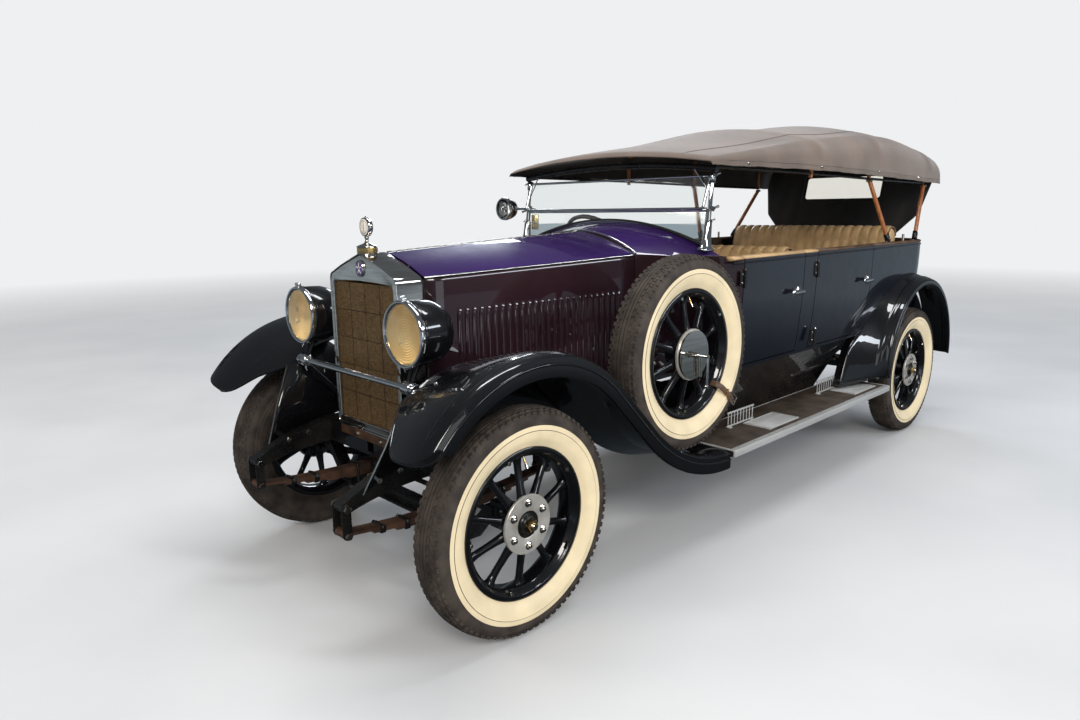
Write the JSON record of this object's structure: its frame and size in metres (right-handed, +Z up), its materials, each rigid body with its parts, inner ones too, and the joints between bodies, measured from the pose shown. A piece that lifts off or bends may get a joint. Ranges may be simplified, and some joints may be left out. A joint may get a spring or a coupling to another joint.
{
  "type": "vintage touring car",
  "caption": "Open touring car with a folding cloth hood, cast spoked wheels, a side-mounted spare, running boards and a pointed radiator.",
  "frame": {"origin": "on the floor under the middle of the car's length and width", "axes": "+Z up, +Y towards the tail, so the car faces -Y, and +X to the car's own left"},
  "size_m": [1.652, 4.493, 1.9398],
  "materials": {
    "body_paint": "gloss",
    "bonnet_paint": "gloss",
    "wing_paint": "gloss",
    "frame_paint": "satin",
    "lamp_paint": "gloss",
    "wheel_paint": "satin",
    "engine_metal": "satin",
    "spring_steel": "satin",
    "bright_metal": "polished",
    "core_brass": "satin",
    "lamp_glass": "fluted",
    "screen_glass": "clear",
    "tyre_rubber": "matt",
    "seat_leather": "satin",
    "hood_fabric": "matt",
    "lining": "matt",
    "bow_wood": "satin",
    "wheel_wood": "satin",
    "board_rubber": "matt"
  },
  "bodies": {
    "knuckle_left": {"knuckle_left": "frame_paint"},
    "knuckle_right": {"knuckle_right": "frame_paint"},
    "tie_rod": {"tie_rod": "frame_paint"},
    "steering_wheel": {"steering_wheel": "wheel_wood"},
    "bonnet_left": {"bonnet_top_left": "bonnet_paint"},
    "bonnet_right": {"bonnet_top_right": "bonnet_paint"},
    "wheel_front_left": {"wheel_front_left": "wheel_paint", "tyre_front_left": "tyre_rubber"},
    "door_front_left": {"door_front_left": "body_paint"},
    "wheel_front_right": {"wheel_front_right": "wheel_paint", "tyre_front_right": "tyre_rubber"},
    "door_front_right": {"door_front_right": "body_paint"},
    "wheel_rear_left": {"wheel_rear_left": "wheel_paint", "tyre_rear_left": "tyre_rubber"},
    "door_rear_left": {"door_rear_left": "body_paint"},
    "wheel_rear_right": {"wheel_rear_right": "wheel_paint", "tyre_rear_right": "tyre_rubber"},
    "door_rear_right": {"door_rear_right": "body_paint"},
    "body": {"back_curtain": "lining", "body_tub": "body_paint", "bonnet_side_left": "bonnet_paint", "bonnet_side_right": "bonnet_paint", "chassis_frame": "frame_paint", "engine_and_exhaust": "engine_metal", "front_axle": "frame_paint", "front_seat": "seat_leather", "front_wings": "wing_paint", "headlamp_lenses": "lamp_glass", "headlamps": "lamp_paint", "hood_bows": "bow_wood", "hood_cloth": "hood_fabric", "leaf_springs": "spring_steel", "radiator_core": "core_brass", "radiator_shell": "bright_metal", "rear_axle": "frame_paint", "rear_seat": "seat_leather", "rear_wings": "wing_paint", "running_boards": "board_rubber", "scuttle": "bonnet_paint", "spare_carrier": "bright_metal", "spare_tyre": "tyre_rubber", "spare_wheel": "wheel_paint", "splash_aprons": "wing_paint", "windscreen_frame": "bright_metal", "windscreen_glass": "screen_glass"}
  },
  "joints": [
    {"name": "steer_left", "type": "hinge", "parent": "body", "child": "knuckle_left", "pos_m": [0.6, -1.75351, 0.4], "axis": [0, 0, 1], "range_deg": [-28, 28]},
    {"name": "steer_right", "type": "hinge", "parent": "body", "child": "knuckle_right", "pos_m": [-0.6, -1.75351, 0.4], "axis": [0, 0, 1], "range_deg": [-28, 28]},
    {"name": "tie_rod_swing", "type": "hinge", "parent": "knuckle_left", "child": "tie_rod", "pos_m": [0.6, -1.59352, 0.29], "axis": [0, 0, 1], "range_deg": [-28, 28]},
    {"name": "steering_wheel_turn", "type": "hinge", "parent": "body", "child": "steering_wheel", "pos_m": [-0.265, -0.25351, 1.25], "axis": [0, 0.766, 0.6428], "range_deg": [-400, 400]},
    {"name": "spin_front_left", "type": "hinge", "parent": "knuckle_left", "child": "wheel_front_left", "pos_m": [0.69, -1.75351, 0.4], "axis": [1, 0, 0], "continuous": true},
    {"name": "spin_front_right", "type": "hinge", "parent": "knuckle_right", "child": "wheel_front_right", "pos_m": [-0.69, -1.75351, 0.4], "axis": [1, 0, 0], "continuous": true},
    {"name": "spin_rear_left", "type": "hinge", "parent": "body", "child": "wheel_rear_left", "pos_m": [0.69, 1.63648, 0.4], "axis": [1, 0, 0], "continuous": true},
    {"name": "spin_rear_right", "type": "hinge", "parent": "body", "child": "wheel_rear_right", "pos_m": [-0.69, 1.63648, 0.4], "axis": [1, 0, 0], "continuous": true},
    {"name": "door_front_left_hinge", "type": "hinge", "parent": "body", "child": "door_front_left", "pos_m": [0.697, -0.35602, 0.95], "axis": [0, 0, -1], "range_deg": [0, 75]},
    {"name": "door_front_right_hinge", "type": "hinge", "parent": "body", "child": "door_front_right", "pos_m": [-0.697, -0.35602, 0.95], "axis": [0, 0, 1], "range_deg": [0, 75]},
    {"name": "door_rear_left_hinge", "type": "hinge", "parent": "body", "child": "door_rear_left", "pos_m": [0.697, 0.35598, 0.95], "axis": [0, 0, -1], "range_deg": [0, 75]},
    {"name": "door_rear_right_hinge", "type": "hinge", "parent": "body", "child": "door_rear_right", "pos_m": [-0.697, 0.35598, 0.95], "axis": [0, 0, 1], "range_deg": [0, 75]},
    {"name": "bonnet_left_hinge", "type": "hinge", "parent": "body", "child": "bonnet_left", "pos_m": [0, -1.77652, 1.286], "axis": [0, -0.9988, -0.0486], "range_deg": [0, 60]},
    {"name": "bonnet_right_hinge", "type": "hinge", "parent": "body", "child": "bonnet_right", "pos_m": [0, -1.77652, 1.286], "axis": [0, 0.9988, 0.0486], "range_deg": [0, 60]}
  ],
  "couplings": [
    {"joint": "steer_right", "follows": "steer_left", "ratio": 1},
    {"joint": "tie_rod_swing", "follows": "steer_left", "ratio": -1},
    {"joint": "steering_wheel_turn", "follows": "steer_left", "ratio": 14}
  ]
}
